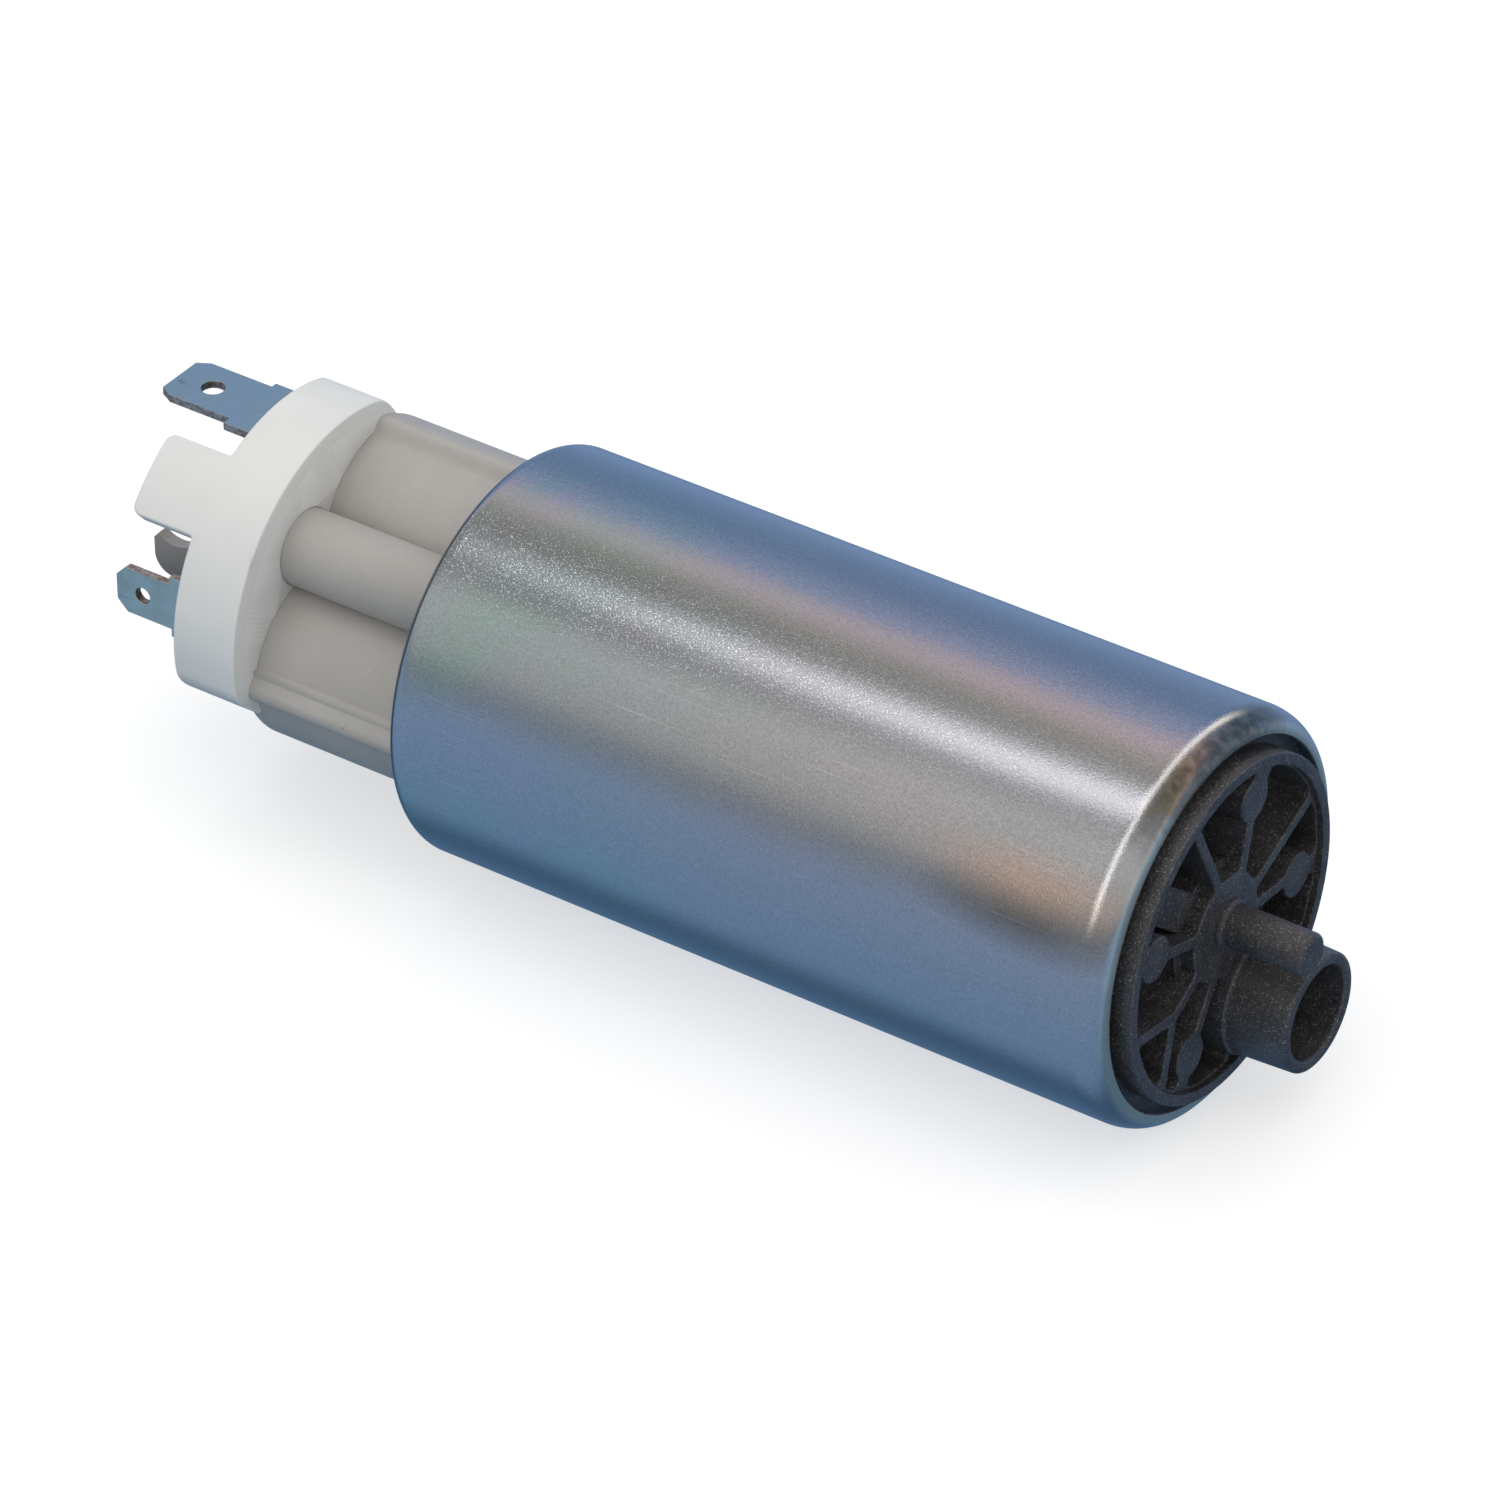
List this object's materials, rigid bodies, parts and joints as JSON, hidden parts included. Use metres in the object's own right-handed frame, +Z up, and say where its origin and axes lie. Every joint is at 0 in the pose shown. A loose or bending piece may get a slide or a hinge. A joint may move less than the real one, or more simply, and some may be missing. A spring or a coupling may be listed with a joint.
{
  "type": "in-tank fuel pump",
  "caption": "Cylindrical in-tank turbine fuel pump: plated can, ribbed black inlet cover with tube and pin, grey outlet cover, white cap, two blade terminals.",
  "frame": {"origin": "on the pump axis, at the middle of the can's length", "axes": "+X along the pump axis towards the inlet cover, +Z up as the pump lies in the picture, with the inlet tube low"},
  "size_m": [0.1224, 0.038, 0.038],
  "materials": {
    "plated_can": "zinc-plated steel with a blue passivate",
    "black_plastic": "glass-filled black plastic",
    "grey_plastic": "matt warm grey plastic",
    "cap_plastic": "matt white plastic",
    "tinned_blade": "tinned brass blade",
    "steel": "ground steel",
    "lamination_steel": "plain steel",
    "impeller_plastic": "brown moulded plastic",
    "sintered_bronze": "sintered bronze",
    "white_plastic": "natural acetal",
    "copper": "enamelled copper",
    "insulator_plastic": "green insulator",
    "phenolic": "moulded phenolic",
    "ferrite": "dark grey ferrite",
    "carbon": "pressed carbon",
    "rubber": "fuel-proof rubber",
    "brass": "pressed brass ring"
  },
  "bodies": {
    "pump_body": {"pump_can": "plated_can", "inlet_cover": "black_plastic", "thrust_button": "steel", "pump_housing": "black_plastic", "lower_bearing": "sintered_bronze", "magnet_upper": "ferrite", "magnet_lower": "ferrite", "magnet_clips": "steel", "flux_ring": "lamination_steel", "outlet_cover": "grey_plastic", "upper_bearing": "sintered_bronze", "cover_seal": "rubber", "brush_spring_a": "steel", "brush_spring_b": "steel", "brush_lead_a": "copper", "brush_lead_b": "copper", "choke_core_a": "ferrite", "choke_core_b": "ferrite", "choke_coil_a": "copper", "choke_coil_b": "copper", "check_valve_seat": "white_plastic", "check_valve_spring": "steel", "relief_spring": "steel", "relief_retainer": "brass", "terminal_cap": "cap_plastic", "terminal_large": "tinned_blade", "terminal_small": "tinned_blade"},
    "rotor": {"shaft": "steel", "impeller": "impeller_plastic", "thrust_washer": "white_plastic", "armature_core": "lamination_steel", "windings": "copper", "slot_insulators": "insulator_plastic", "commutator_base": "phenolic", "commutator_bars": "copper"},
    "brush_a_slider": {"brush_a": "carbon"},
    "brush_b_slider": {"brush_b": "carbon"},
    "check_valve": {"check_valve_poppet": "white_plastic", "check_valve_seal": "rubber"},
    "relief_valve": {"relief_ball": "steel"}
  },
  "joints": [
    {"name": "rotor_spin", "type": "hinge", "parent": "pump_body", "child": "rotor", "pos_m": [0, 0, 0], "axis": [1, 0, 0], "continuous": true},
    {"name": "brush_a_travel", "type": "slide", "parent": "pump_body", "child": "brush_a_slider", "axis": [-1, 0, 0], "range_m": [0, 0.0025], "stiffness_N_per_m": 250, "springref_m": -0.008, "deforming": ["brush_spring_a", "brush_lead_a"]},
    {"name": "brush_b_travel", "type": "slide", "parent": "pump_body", "child": "brush_b_slider", "axis": [-1, 0, 0], "range_m": [0, 0.0025], "stiffness_N_per_m": 250, "springref_m": -0.008, "deforming": ["brush_spring_b", "brush_lead_b"]},
    {"name": "check_valve_travel", "type": "slide", "parent": "pump_body", "child": "check_valve", "axis": [-1, 0, 0], "range_m": [0, 0.0025], "stiffness_N_per_m": 120, "springref_m": -0.004, "deforming": ["check_valve_spring"]},
    {"name": "relief_valve_travel", "type": "slide", "parent": "pump_body", "child": "relief_valve", "axis": [-1, 0, 0], "range_m": [0, 0.001], "stiffness_N_per_m": 900, "springref_m": -0.006, "deforming": ["relief_spring"]}
  ]
}
